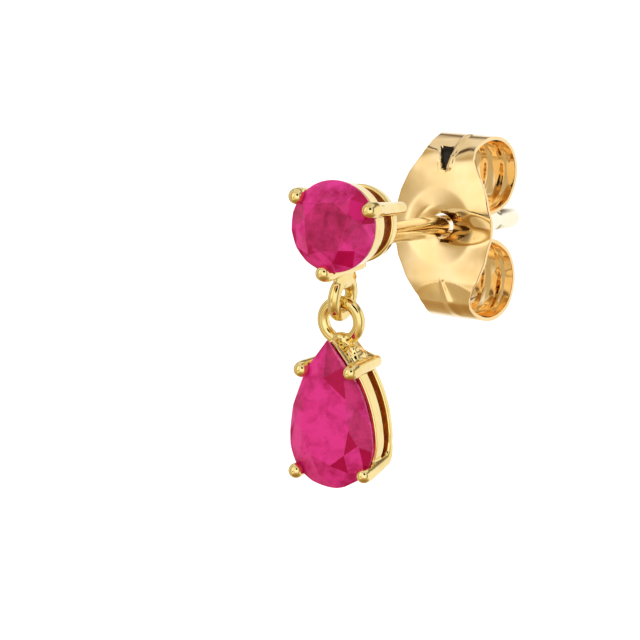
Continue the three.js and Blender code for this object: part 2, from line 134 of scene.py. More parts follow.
# from the ring to the upper prongs' feet: place from the pear's tip and radius
STRUT = (
    (0.0, -0.28, -0.98, 0.24),
    (0.38, -0.54, -1.08, 0.22),
    (0.68, -0.8, -1.36, 0.21),
    (0.84, -1.02, -1.68, 0.21),
)
# the lip beside the tip, from the solder to the prongs, in the same way
TIP_LIP = (
    (0.05, -0.16, -0.36, 0.12),
    (0.2, -0.36, -0.36, 0.15),
    (0.48, -0.75, -0.38, 0.15),
    (0.74, -1.15, -0.4, 0.14),
)
PEAR_RISE = PEAR["length"] - PEAR["half_width"]
PEAR_SIDE = (PEAR["half_width"] ** 2 + PEAR_RISE**2) / (2 * PEAR["half_width"])

# The butterfly back.
CLUTCH = {
    "hole_y": 6.04,
    "hole_radius": 0.425,
    "yaw": 7.5 * DEG,
    "roll": 3 * DEG,
    "upper_lean": 1 * DEG,
    "lower_lean": -2.5 * DEG,
    "thickness": 0.12,
    "side_shift": 0.1,
    "upper_scroll": 1.25,
    "lower_scroll": 1.29,
    "scroll_end": 286 * DEG,
    "dish_depth": 0.3,
}
# The dish: a shallow cone about the hole, and inside it a steeper funnel that is drawn out to the
# strip's edge on one side.
CONE = {"radius": 1.3, "eased": 0.06, "depth": 0.12}
FUNNEL = {"inner": 1.0, "outer": 2.3, "half_height": 0.75, "slope": 0.8}
FLAT_FOLD = (2, 35)  # degrees round the lower scroll between which it was pressed flat
# How much later the flat begins beside its middle, in degrees per mm squared, and at most.
FOLD_ARCH = {"middle": 0.1, "bend": 14, "most": 25}
# The upper curl's left shoulder is worn narrower: the share, and the angle round the scroll.
SHOULDER = {"share": 0.13, "at": 78, "width": 30}
# The dart: a pocket pressed into the upper curl, by its places along and across the strip, with a
# lip thrown up on its right. Painted shade darkens the pocket from this share of the way in from its edge.
DART = {
    "start": 1.84,
    "end": 2.74,
    "foot": 0.07,
    "head": -0.1,
    "foot_half": 0.13,
    "head_half": 0.32,
    "deep": 0.16,
    "wall": 0.25,
    "head_ease": 0.06,
    "lip": 0.045,
    "lip_beside": 0.07,
    "lip_width": 0.06,
    "lip_past": 1.1,
    "lip_grows": 0.2,
    "lip_fades": 0.5,
    "painted_shade_from": 0.04,
}
# The ridge pressed into the lower curl: it grows over one length and fades over another, from a
# little before its start.
RIDGE = {
    "start": 1.76,
    "end": 3.4,
    "x0": 0.1,
    "lean": 0.19,
    "half": 0.17,
    "height": 0.024,
    "narrow": 0.35,
    "widens": 1.2,
    "before": 0.1,
    "grows": 0.4,
    "fades": 0.5,
}
# The unevenness of the strip: from what angle round a scroll, how high, over what lengths, and
# how far on in its ripple it is at the strip's middle.
WAVES = (
    {"from": 0, "height": 0.03, "across": 0.9, "along": 0.62, "onset": 0.6},
    {"from": 150, "height": 0.008, "across": 0.13, "along": 0.3, "onset": 0.6},
)
# The buckle of the upper curl, and the degrees round it: from, growing over, to, fading over.
BUCKLE = {"height": 0.022, "across": 0.33, "along": 0.26, "onset": 0.4}
BUCKLE_TURN = (4, 20, 80, 25)
RIPPLE_ALONG = 0.9  # how far on each ripple is at the hole
# Ribs rolled into both scrolls: place across the strip, half width, height.
RIBS = ((0.2, 0.14, 0.035), (0.85, 0.12, 0.022), (-0.5, 0.2, 0.025))
RIBS_FROM, RIBS_GROW = 95, 40  # degrees round the scroll
CALM = 1.2  # how far from the hole the strip's relief reaches its full height
DOME = {"across": 0.02, "along": 0.012}  # how far the plate's edges fall back, per mm squared
CHATTER = {"height": 0.006, "pitch": 0.045, "slant": 3, "grows": 3}  # the punch's marks in the funnel
THROAT = 0.018  # how much deeper than the cone the throat's painted reflection begins
FRONT_DEPTH = 0.6  # what is farther back is no longer the strip's front
# height on the plate, half width
PLATE_WIDTHS = ((0.0, 1.97), (0.35, 1.93), (0.7, 1.8), (1.1, 1.7), (1.45, 1.53))
# angle round the scroll in degrees, half width
SCROLL_WIDTHS = (
    (0, 1.4),
    (14, 1.18),
    (28, 1.01),
    (45, 0.92),
    (62, 0.96),
    (90, 1.08),
    (135, 1.2),
    (180, 1.23),
    (225, 1.19),
    (286, 0.92),
)

# ---------------------------------------------------------------- where each group stands

TOWARDS_FRONT = Matrix.Rotation(90 * DEG, 4, "X")  # a shape built along +Z then faces -Y

stone_low, stone_high = (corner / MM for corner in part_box("round_ruby"))
STONE_HEIGHT = (stone_low.z + stone_high.z) / 2
HEAD = Matrix.Translation((0, 0, STONE_HEIGHT)) @ Matrix.Rotation(STUD_ROLL, 4, "Y") @ TOWARDS_FRONT

drop_turn = Matrix.Rotation(DROP_LEAN, 4, "Y") @ Matrix.Rotation(DROP_TILT, 4, "X")
bend = HEAD @ Vector((0, -LOOP["below"] - LOOP["radius"], LOOP["height"]))
pull = drop_turn @ Vector((0, 0, LOOP["wire"] + RING["wire"] + GAP))
pull.y = 0
ring_top = drop_turn @ Vector((0, 0, RING["radius"]))
DROP = Matrix.Translation(bend + pull - ring_top) @ drop_turn
PEAR_SEAT = DROP @ Matrix.Translation(PEAR_TIP) @ TOWARDS_FRONT

CLUTCH_SEAT = (
    Matrix.Translation((0, CLUTCH["hole_y"], 0))
    @ Matrix.Rotation(-CLUTCH["yaw"], 4, "Z")
    @ Matrix.Rotation(CLUTCH["roll"], 4, "Y")
)

# ---------------------------------------------------------------- working by hand


def clear():
    """Nothing selected, and in object mode."""
    if bpy.context.view_layer.objects.active is not None and bpy.context.mode != "OBJECT":
        bpy.ops.object.mode_set(mode="OBJECT")
    bpy.ops.object.select_all(action="DESELECT")


def pick(*pieces):
    """Selects these pieces alone, in object mode; the first is the active one."""
    clear()
    for piece in pieces:
        piece.select_set(True)
    bpy.context.view_layer.objects.active = pieces[0]


def added(name):
    """The active piece, which was just added or joined, under its name."""
    piece = bpy.context.object
    piece.name = name
    return piece


def edit(piece, mode="VERT"):
    """Edit mode with everything selected."""
    pick(piece)
    bpy.ops.object.mode_set(mode="EDIT")
    bpy.ops.mesh.select_mode(type=mode)
    bpy.ops.mesh.select_all(action="SELECT")


def leave():
    bpy.ops.object.mode_set(mode="OBJECT")


def close_up(piece, apart=1e-4):
    """Merges corners that are no farther apart, and turns every face outwards."""
    edit(piece)
    bpy.ops.mesh.remove_doubles(threshold=apart)
    bpy.ops.mesh.normals_make_consistent(inside=False)
    leave()


def modify(piece, kind, **settings):
    """Adds a modifier and applies it."""
    pick(piece)
    modifier = piece.modifiers.new(kind.title(), kind)
    for name, value in settings.items():
        setattr(modifier, name, value)
    bpy.ops.object.modifier_apply(modifier=modifier.name)


def place(piece, matrix):
    """Moves the piece by the matrix and keeps the new place in its mesh."""
    pick(piece)
    piece.matrix_world = matrix @ piece.matrix_world
    bpy.ops.object.transform_apply(location=True, rotation=True, scale=True)


def start(name, primitive, **settings):
    """Starts a piece from a primitive, with its place kept in its mesh."""
    clear()
    primitive(**settings)
    piece = added(name)
    place(piece, Matrix.Identity(4))
    return piece


def join(name, pieces):
    pick(*pieces)
    bpy.ops.object.join()
    return added(name)


def smooth_shade(piece, angle=180):
    pick(piece)
    if angle >= 180:
        bpy.ops.object.shade_smooth()
    else:
        bpy.ops.object.shade_smooth_by_angle(angle=angle * DEG)


def done(piece, matrix, body, slot, finishes, *nodes):
    """Puts a piece in its place, in metres, with its body, finishes and the solids it stands for."""
    place(piece, Matrix.Scale(MM, 4) @ matrix)
    kinds = [face.material_index for face in piece.data.polygons]
    piece.data.materials.clear()
    for finish in finishes:
        piece.data.materials.append(finish)
    piece.data.polygons.foreach_set("material_index", kinds)
    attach(piece, body)
    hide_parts(*nodes)


# ---------------------------------------------------------------- materials


def colour(code, strength=1.0):
    """An sRGB hex colour as a linear one."""
    parts = [int(code[i : i + 2], 16) / 255 for i in (1, 3, 5)]
    linear = [p / 12.92 if p <= 0.04045 else ((p + 0.055) / 1.055) ** 2.4 for p in parts]
    return (*[value * strength for value in linear], 1.0)


def fill_in(node, values):
    """Gives a node its plain input values."""
    for socket, value in values.items():
        node.inputs[socket].default_value = value


def add_node(tree, kind, values=None, links=None, **settings):
    """Adds a node with its settings, its plain input values and its links."""
    node = tree.nodes.new(kind)
    for name, value in settings.items():
        setattr(node, name, value)
    fill_in(node, values or {})
    for socket, source in (links or {}).items():
        tree.links.new(source, node.inputs[socket])
    return node


def new_material(name):
    material = bpy.data.materials.new(name)
    material.use_nodes = True
    tree = material.node_tree
    shader = tree.nodes["Principled BSDF"]
    return material, tree, shader


def per_mm(millimetres):
    """A noise scale, in Object coordinates of metres, whose features are this many millimetres apart."""
    return 1 / (millimetres * MM)


def two_toned(name, low, high, pattern, at=(0.35, 0.65), stretch=(1, 1, 1)):
    """Starts a material whose colour drifts between two tones over a pattern, stretched by shares
    along X, Y and Z. The pattern and the tone node are for what else the finish needs."""
    material, tree, shader = new_material(name)
    place_on = add_node(tree, "ShaderNodeTexCoord").outputs["Object"]
    drawn_out = add_node(tree, "ShaderNodeVectorMath", {1: stretch}, {0: place_on}, operation="MULTIPLY")
    patches = add_node(tree, "ShaderNodeTexNoise", pattern, {"Vector": drawn_out.outputs["Vector"]})
    tone = add_node(tree, "ShaderNodeValToRGB", links={"Fac": patches.outputs["Fac"]})
    for stop, position, code in zip(tone.color_ramp.elements, at, (low, high)):
        stop.position = position
        stop.color = colour(code)
    tree.links.new(tone.outputs["Color"], shader.inputs["Base Color"])
    return material, tree, shader, patches, tone


def roughen(tree, shader, pattern, strength, height):
    """Lets a pattern stand up from the surface, height in millimetres."""
    bump_node = add_node(
        tree,
        "ShaderNodeBump",
        {"Strength": strength, "Distance": height * MM},
        {"Height": pattern.outputs["Fac"]},
    )
    tree.links.new(bump_node.outputs["Normal"], shader.inputs["Normal"])


def polished_gold(name, low, high):
    """Polished yellow gold: cast or rolled, filed and buffed, so nearly a mirror, with the soft
    unevenness of buffing and a slight haze that widens its highlights."""
    pattern = {"Scale": per_mm(0.9), "Detail": 2.0, "Roughness": 0.5}
    material, tree, shader, buffing, _ = two_toned(name, low, high, pattern)
    haze = add_node(
        tree,
        "ShaderNodeTexNoise",
        {"Scale": per_mm(0.25), "Detail": 3.0, "Roughness": 0.6},
        {"Vector": add_node(tree, "ShaderNodeTexCoord").outputs["Object"]},
    )
    gloss = add_node(
        tree,
        "ShaderNodeMapRange",
        {"From Min": 0.3, "From Max": 0.7, "To Min": 0.05, "To Max": 0.12},
        {"Value": haze.outputs["Fac"]},
    )
    tree.links.new(gloss.outputs["Result"], shader.inputs["Roughness"])
    roughen(tree, shader, buffing, 0.35, 0.012)
    fill_in(shader, {"Metallic": 1.0})
    return material


def ruby(name, dark, light, glow, clear, contrast):
    """Natural ruby, cloudy with fine silk: colour drifts between two tones, each facet takes its own share
    of tone as a painted reflection, and a painted glow stands in for light that has wandered about inside."""
    pattern = {"Scale": per_mm(0.6), "Detail": 8.0, "Roughness": 0.66, "Distortion": 0.3}
    material, tree, shader, cloud, tone = two_toned(name, dark, light, pattern, (0.4, 0.7))
    facing = add_node(tree, "ShaderNodeTexCoord").outputs["Normal"]
    # The whole of a flat facet snaps to one value, so that it takes one share of painted reflection.
    steady = add_node(
        tree, "ShaderNodeVectorMath", {1: (0.0137, 0.0137, 0.0137)}, {0: facing}, operation="SNAP"
    )
    facet = add_node(
        tree, "ShaderNodeTexWhiteNoise", links={"Vector": steady.outputs["Vector"]}, noise_dimensions="3D"
    )
    shade = add_node(
        tree,
        "ShaderNodeMath",
        {1: contrast},
        {0: facet.outputs["Value"], 2: cloud.outputs["Fac"]},
        operation="MULTIPLY_ADD",
    )
    tree.links.new(shade.outputs["Value"], tone.inputs["Fac"])
    # Painted glow: the tone also comes out as emission.
    tree.links.new(tone.outputs["Color"], shader.inputs["Emission Color"])
    fill_in(shader, {"Roughness": 0.05, "IOR": 1.77, "Specular IOR Level": 0.05})
    fill_in(shader, {"Emission Strength": glow, "Transmission Weight": clear})
    return material


def recess_gold_painted_shade():
    """The recess inside a basket, which no polishing wheel reaches: matt gold, its brown painted shade."""
    pattern = {"Scale": per_mm(0.2), "Detail": 4.0, "Roughness": 0.6}
    material, tree, shader, grain, _ = two_toned("recess_gold_painted_shade", "#6C2203", "#A04C0C", pattern)
    roughen(tree, shader, grain, 0.5, 0.02)
    fill_in(shader, {"Metallic": 1.0, "Roughness": 0.5})
    return material


def dart_painted_shade():
    """Painted shade: near black, in the dart of the butterfly."""
    pattern = {"Scale": per_mm(0.15), "Detail": 3.0, "Roughness": 0.6}
    material, _, shader, _, _ = two_toned("dart_painted_shade", "#120C06", "#2A1C0E", pattern)
    fill_in(shader, {"Roughness": 0.6})
    return material


def throat_painted_reflection():
    """The throat of the butterfly's funnel: bright gold drawn out in dark streaks, all painted reflection.
    """
    pattern = {"Scale": per_mm(0.17), "Detail": 2.0, "Roughness": 0.5, "Distortion": 0.4}
    material, _, shader, _, _ = two_toned(
        "throat_painted_reflection", "#5A3410", "#F0BC6E", pattern, (0.44, 0.55), stretch=(0.16, 0.5, 1.0)
    )
    fill_in(shader, {"Metallic": 1.0, "Roughness": 0.14})
    return material


# The settings are cast in a slightly greener gold than the rolled strip of the back. The post, of drawn
# wire, is painted palest of all: painted highlight, for the cream light along it.
GOLD = polished_gold("cast_yellow_gold", "#EFD48A", "#F7DF9A")
STRIP_GOLD = polished_gold("rolled_yellow_gold", "#F3D296", "#FADCA8")
POST_GOLD_PAINTED_HIGHLIGHT = polished_gold("post_gold_painted_highlight", "#FCF2D2", "#FFF9E6")
RECESS_PAINTED_SHADE = recess_gold_painted_shade()
DART_PAINTED_SHADE = dart_painted_shade()
THROAT_PAINTED_REFLECTION = throat_painted_reflection()
STRIP_FINISHES = (STRIP_GOLD, DART_PAINTED_SHADE, THROAT_PAINTED_REFLECTION)
# One ruby in three depths of tone: the middle and deep tones are painted shade, on facets that would send
# less light to the front.
RUBIES = (
    ruby("cloudy_ruby", "#BC0A54", "#FA3EA2", glow=0.1, clear=0.15, contrast=0.18),
    ruby("mid_ruby_painted_shade", "#AC0850", "#EA3084", glow=0.06, clear=0.15, contrast=0.18),
    ruby("deep_ruby_painted_shade", "#B80048", "#D0045C", glow=0.06, clear=0.1, contrast=0.1),
)

# ---------------------------------------------------------------- outlines, rails and wires


def pear_normal_point(turn, inwards, side=1):
    """The point of the pear's outline, drawn in by inwards, whose normal points turn above level."""
    centre = PEAR_SIDE - PEAR["half_width"] if turn > 0 else 0
    radius = (PEAR_SIDE if turn > 0 else PEAR["half_width"]) - inwards
    return Vector((side * (radius * math.cos(turn) - centre), radius * math.sin(turn) - PEAR_RISE, 0))


def pear_loop(inwards, height, side_steps=28, head_steps=44):
    """The pear's outline, spun from a point at its tip: down one side, round the foot and up again."""
    centre = PEAR_SIDE - PEAR["half_width"]
    tip_turn = math.acos(centre / (PEAR_SIDE - inwards))
    tip = pear_normal_point(tip_turn, inwards)
    loop = start("outline", bpy.ops.mesh.primitive_plane_add, size=0.1, location=(tip.x, tip.y, height))
    edit(loop)
    bpy.ops.mesh.merge(type="CENTER")
    for steps, angle, x in (
        (side_steps, tip_turn, -centre),
        (head_steps, math.pi, 0.0),
        (side_steps, tip_turn, centre),
    ):
        bpy.ops.mesh.spin(steps=steps, angle=angle, center=(x, -PEAR_RISE, height), axis=(0, 0, 1))
    bpy.ops.mesh.select_all(action="SELECT")
    bpy.ops.mesh.remove_doubles(threshold=1e-3)
    leave()
    return loop


def round_loop(radius, height):
    circle = bpy.ops.mesh.primitive_circle_add
    return start("outline", circle, vertices=96, radius=radius, location=(0, 0, height))


def band(name, outline, sizes, edge):
    """A rail round an outline: its outer and inner corners, bridged pair by pair, with eased edges."""
    front, back, wall = sizes["front"], sizes["back"], sizes["wall"]
    if outline is round_loop:
        across = (sizes["front_radius"], sizes["back_radius"], -wall)
    else:
        front, back = -front, -back
        across = (sizes["front_inset"], sizes["back_inset"], wall)
    corners = (
        (across[0], front),
        (across[1], back),
        (across[1] + across[2], back),
        (across[0] + across[2], front),
    )
    strips = []
    for here, there in zip(corners, corners[1:] + corners[:1]):
        strip = join("strip", [outline(*here), outline(*there)])
        edit(strip, "EDGE")
        bpy.ops.mesh.bridge_edge_loops()
        leave()
        strips.append(strip)
    rail = join(name, strips)
    close_up(rail)
    modify(rail, "BEVEL", width=edge, segments=3, limit_method="ANGLE", angle_limit=60 * DEG)
    return rail


def wire(name, stations, sides=28):
    """A wire through stations of (x, y, z, radius), bent about Y, with a round nose at each end."""
    places = [Vector(station[:3]) for station in stations]
    radii = [station[3] for station in stations]
    spans = [(b - a).normalized() for a, b in zip(places, places[1:])]
    rings = [(places[0] - spans[0] * radii[0] * math.sin(n), radii[0] * math.cos(n), spans[0]) for n in NOSE]
    for index, at in enumerate(places):
        before, after = spans[max(index - 1, 0)], spans[min(index, len(spans) - 1)]
        rings.append((at, radii[index], (before + after).normalized()))
    rings += [
        (places[-1] + spans[-1] * radii[-1] * math.sin(n), radii[-1] * math.cos(n), spans[-1])
        for n in reversed(NOSE)
    ]
    at, radius, along = rings[0]
    tilt = math.atan2(along.x, along.z)
    round_end = {"vertices": sides, "radius": radius, "fill_type": "NGON", "rotation": (0, tilt, 0)}
    piece = start(name, bpy.ops.mesh.primitive_circle_add, location=at, **round_end)
    edit(piece, "FACE")
    for next_at, next_radius, next_along in rings[1:]:
        next_tilt = math.atan2(next_along.x, next_along.z)
        bpy.ops.mesh.extrude_region_move(TRANSFORM_OT_translate={"value": next_at - at})
        if abs(next_tilt - tilt) > 1e-6:
            bpy.ops.transform.rotate(value=tilt - next_tilt, orient_axis="Y", center_override=next_at)
        ratio = next_radius / radius
        bpy.ops.transform.resize(value=(ratio, ratio, ratio), center_override=next_at)
        at, radius, tilt = next_at, next_radius, next_tilt
    bpy.ops.mesh.select_all(action="SELECT")
    bpy.ops.mesh.normals_make_consistent(inside=False)
    leave()
    return piece


def torus(name, sizes, matrix):
    """A ring of round wire."""
    clear()
    radii = {"major_radius": sizes["radius"], "minor_radius": sizes["wire"]}
    bpy.ops.mesh.primitive_torus_add(major_segments=112, minor_segments=40, **radii)
    piece = added(name)
    place(piece, matrix)
    return piece


def ball(name, at, half_sizes):
    """A bead of solder, as it sets."""
    clear()
    bpy.ops.mesh.primitive_uv_sphere_add(segments=32, ring_count=20, radius=1, location=at)
    piece = added(name)
    piece.scale = half_sizes
    place(piece, Matrix.Identity(4))
    return piece


def fuse(name, pieces, grain, rounds, worn):
    """Solders pieces into one body of metal, buffs the joints until they flow into each other, and
    gives back the skin that the buffing wore off."""
    whole = join(name, pieces)
    modify(whole, "REMESH", mode="VOXEL", voxel_size=grain, use_smooth_shade=True)
    modify(whole, "SMOOTH", factor=0.5, iterations=rounds)
    modify(whole, "DISPLACE", strength=worn, mid_level=0)
    smooth_shade(whole)
    return whole


# ---------------------------------------------------------------- stones


def cut(stone, *corners):
    """Grinds a facet: the flat through three corners, on the side away from the stone's middle."""
    a, b, c = (Vector(corner) for corner in corners)
    normal = (b - a).cross(c - a).normalized()
    middle = sum((v.co for v in stone.data.vertices), Vector()) / len(stone.data.vertices)
    if normal.dot(a - middle) < 0:
        normal = -normal
    edit(stone)
    bpy.ops.mesh.bisect(plane_co=a, plane_no=normal, use_fill=True, clear_outer=True)
    leave()


def meeting(first, second, height):
    """The point at this height on the line where two flats (point, normal) meet."""
    (p, n), (q, m) = first, second
    rhs = (n.dot(p) - n.z * height, m.dot(q) - m.z * height)
    det = n.x * m.y - n.y * m.x
    return Vector(((rhs[0] * m.y - rhs[1] * n.y) / det, (n.x * rhs[1] - m.x * rhs[0]) / det, height))


def flat(a, b, c):
    """The flat through three points, as one of them and its normal."""
    return a, (b - a).cross(c - a).normalized()


def brilliant(stone, tables, girdles, betweens, culet, sizes, star, lower):
    """Cuts a brilliant from a blank. Each main facet runs from a corner of the table to a place on
    the girdle; stars and pairs of girdle facets stand between them, above and below."""
    half = sizes["girdle"] / 2
    down = Vector((0, 0, sizes["girdle"]))
    top = half + sizes["crown"]
    count = len(tables)
    bottom = Vector((culet[0], culet[1], -half - sizes["pavilion"]))

    def tangent(k):
        ahead, behind = betweens[k], betweens[k - 1]
        return Vector((ahead[0] - behind[0], ahead[1] - behind[1], 0))

    mains, keels = [], []
    for k in range(count):
        table = Vector((*tables[k], top))
        rim, under = Vector((*girdles[k], half)), Vector((*girdles[k], -half))
        mains.append(flat(table, rim, rim + tangent(k)))
        keels.append(flat(bottom, under, under + tangent(k)))
        cut(stone, table, rim, rim + tangent(k))
        cut(stone, bottom, under, under + tangent(k))
    for k in range(count):
        n = (k + 1) % count
        here, there = Vector((*tables[k], top)), Vector((*tables[n], top))
        tip = meeting(mains[k], mains[n], half + sizes["crown"] * star)
        cut(stone, here, there, tip)
        deep = meeting(keels[k], keels[n], -half - sizes["pavilion"] * lower)
        for end in (k, n):
            rim, mid = Vector((*girdles[end], half)), Vector((*betweens[k], half))
            cut(stone, tip, rim, mid)
            cut(stone, deep, rim - down, mid - down)
    close_up(stone, 2e-3)


def paint_facet_shade(stone, tone, spots):
    """Paints shade on the facets that would throw less light to the front: those in front at each spot take
    the deeper tone.
    """
    for x, y in spots:
        for face in stone.data.polygons:
            if face.normal.z > 0.1 and inside_face(stone, face, x, y):
                face.material_index = tone


def set_stone(stone, matrix, body, node, middle, deep):
    """Gives a cut stone its tones and sets it in its basket."""
    for tone in RUBIES:
        stone.data.materials.append(tone)
    # Painted shade: facets at the listed spots take the middle and the deep tone.
    paint_facet_shade(stone, 1, middle)
    paint_facet_shade(stone, 2, deep)
    # Real facets meet in hair-fine polished edges.
    modify(stone, "BEVEL", width=0.008, segments=1, limit_method="ANGLE", angle_limit=8 * DEG)
    done(stone, matrix, body, "ruby", RUBIES, node)


def inside_face(stone, face, x, y):
    """Whether the spot lies within the face, as seen from the front."""
    corners = [stone.data.vertices[index].co for index in face.vertices]
    turns = [
        (b.x - a.x) * (y - a.y) - (b.y - a.y) * (x - a.x) for a, b in zip(corners, corners[1:] + corners[:1])
    ]
    return min(turns) > 0 or max(turns) < 0


def seat_cutter(stone, lift):
    """A copy of the stone, grown by the gap, that cuts its seat in the metal."""
    pick(stone)
    bpy.ops.object.duplicate()
    cutter = added("seat")
    size = max(cutter.dimensions.x / 2, 1)
    middle = sum((v.co for v in cutter.data.vertices), Vector()) / len(cutter.data.vertices)
    grow = Matrix.Translation(middle) @ Matrix.Scale(1 + GAP / size, 4) @ Matrix.Translation(-middle)
    place(cutter, Matrix.Translation((0, 0, lift)) @ grow)
    return cutter


def cut_seat(piece, cutter):
    modify(piece, "BOOLEAN", operation="DIFFERENCE", object=cutter, solver="EXACT")


def round_ruby():
    depth = ROUND["girdle"] + ROUND["crown"] + ROUND["pavilion"]
    middle = (ROUND["crown"] - ROUND["pavilion"]) / 2
    blank = {"vertices": 96, "radius": ROUND["radius"], "depth": depth, "location": (0, 0, middle)}
    stone = start("round_ruby_cut", bpy.ops.mesh.primitive_cylinder_add, **blank)
    turns = [(k * 45 + ROUND_TURN) * DEG for k in range(8)]

    def on(radius, turn):
        return radius * math.cos(turn), radius * math.sin(turn)

    brilliant(
        stone,
        [on(ROUND["table"], turn) for turn in turns],
        [on(ROUND["radius"], turn) for turn in turns],
        [on(ROUND["radius"], turn + 22.5 * DEG) for turn in turns],
        (0, 0),
        ROUND,
        star=0.62,
        lower=0.72,
    )
    return stone


def pear_ruby():
    loop = pear_loop(0, -PEAR["girdle"] / 2 - PEAR["pavilion"])
    stone = join("pear_ruby_cut", [loop])
    edit(stone, "EDGE")
    bpy.ops.mesh.edge_face_add()
    depth = PEAR["girdle"] + PEAR["crown"] + PEAR["pavilion"]
    bpy.ops.mesh.extrude_region_move(TRANSFORM_OT_translate={"value": (0, 0, depth)})
    leave()
    close_up(stone)

    def outline(degrees):
        if degrees == 90:
            return 0.0, 0.0
        side = 1 if -90 <= degrees < 90 else -1
        turn = degrees if side == 1 else (180 - degrees if degrees > 0 else -180 - degrees)
        point = pear_normal_point(turn * DEG, 0, side)
        return point.x, point.y

    brilliant(
        stone,
        [corner for corner, _ in PEAR_MAINS],
        [outline(turn) for _, turn in PEAR_MAINS],
        [outline(turn) for turn in PEAR_BETWEENS],
        PEAR_CULET,
        PEAR,
        star=0.6,
        lower=0.7,
    )
    # the facet over the tip is split down its middle
    rim = PEAR["girdle"] / 2
    tip_corner = PEAR_MAINS[0][0]
    cut(stone, (*tip_corner, rim + PEAR["crown"]), (0, 0, rim), (-0.5, -0.9, rim + 0.1))
    return stone


# ---------------------------------------------------------------- the stud's gold


def line(name, outline, sizes, stone, matrix, body, node):
    """The unpolished inside of a basket: the recessed wall between its rails, cut for the stone, dark with
    painted shade.
    """
    inside = band(name, outline, sizes, RAIL_EDGE["inside"])
    cut_seat(inside, stone)
    smooth_shade(inside, 40)
    # Its brown is painted shade.
    done(inside, matrix, body, "polished_gold", (RECESS_PAINTED_SHADE,), node)


def stud_prong(turn):
    prong = wire("prong", [(0, distance, height, radius) for distance, height, radius in STUD_PRONG])
    place(prong, Matrix.Rotation(turn - 90 * DEG, 4, "Z"))
    return prong


def stud_basket(stone):
    pieces = [
        band("front_rail", round_loop, STUD_FRONT_RAIL, RAIL_EDGE["stud"]),
        band("back_rail", round_loop, STUD_BACK_RAIL, RAIL_EDGE["stud"]),
    ]
    pieces += [stud_prong(turn) for turn in STUD_PRONG_TURNS]
    for piece in pieces:
        cut_seat(piece, stone)
    hung = Matrix.Translation((0, -LOOP["below"], LOOP["height"])) @ Matrix.Rotation(90 * DEG, 4, "Y")
    pieces.append(torus("loop", LOOP, hung))
    clear()
    bpy.ops.mesh.primitive_cube_add(
        size=1, location=(0, -BRIDGE["below"], (BRIDGE["front"] + BRIDGE["back"]) / 2)
    )
    bar = added("bridge")
    bar.scale = (2 * BRIDGE["reach"], BRIDGE["height"], BRIDGE["front"] - BRIDGE["back"])
    place(bar, Matrix.Identity(4))
    modify(bar, "BEVEL", width=RAIL_EDGE["stud"], segments=3, limit_method="ANGLE", angle_limit=60 * DEG)
    pieces.append(bar)
    at, size = LOOP_SOLDER
    pieces.append(ball("solder_web", at, size))
    basket = fuse("stud_basket", pieces, **STUD_BUFFING)
    done(basket, HEAD, "stud", "polished_gold", (GOLD,), "stud_setting")
    line("stud_basket_inside", round_loop, STUD_INSIDE, stone, HEAD, "stud", "stud_setting")


def ear_post():
    """The post, spun from its profile: solder collar, shaft, friction groove and rounded tip."""
    radius, tip, groove = POST["radius"], POST["tip"], POST["groove"]
    width, depth = POST["groove_width"], POST["groove_depth"]
    profile = [
        (0.0, COLLAR["front"]),
        (radius + COLLAR["flange"], COLLAR["front"]),
        (radius + COLLAR["flange"], COLLAR["back"]),
        *[(radius + outside, back) for outside, back in COLLAR_FILLET],
        (radius, groove - width),
        (radius - 0.3 * depth, groove - 0.8 * width),
        (radius - depth, groove - width / 2),
        (radius - depth, groove + width / 2),
        (radius - 0.3 * depth, groove + 0.8 * width),
        (radius, groove + width),
        *[(share * radius, tip - short) for share, short in POST_END],
    ]
    foot = (profile[0][0], 0, profile[0][1])
    post = start("ear_post", bpy.ops.mesh.primitive_plane_add, size=0.01, location=foot)
    edit(post)
    bpy.ops.mesh.merge(type="CENTER")
    for (r0, z0), (r1, z1) in zip(profile, profile[1:]):
        bpy.ops.mesh.extrude_region_move(TRANSFORM_OT_translate={"value": (r1 - r0, 0, z1 - z0)})
    bpy.ops.mesh.select_all(action="SELECT")
    bpy.ops.mesh.spin(steps=56, angle=360 * DEG, center=(0, 0, 0), axis=(0, 0, 1))
    leave()
    close_up(post)
    smooth_shade(post, 35)
    along_post = Matrix.Rotation(-90 * DEG, 4, "X")
    # The post's pale gold is painted highlight.
    done(post, along_post, "stud", "polished_gold", (POST_GOLD_PAINTED_HIGHLIGHT,), "stud_setting")


# ---------------------------------------------------------------- the drop's gold


def pear_prong(turn, side, stations):
    """A prong on the pear's outline: X runs along it towards the foot, Y outwards and Z forwards."""
    prong = wire("prong", stations)
    outwards = Vector((side * math.cos(turn), math.sin(turn), 0))
    footwards = Vector((side * outwards.y, -side * outwards.x, 0))
    matrix = Matrix((footwards, outwards, (0, 0, 1))).transposed().to_4x4()
    matrix.translation = pear_normal_point(turn, 0, side)
    place(prong, matrix)
    close_up(prong)
    return prong


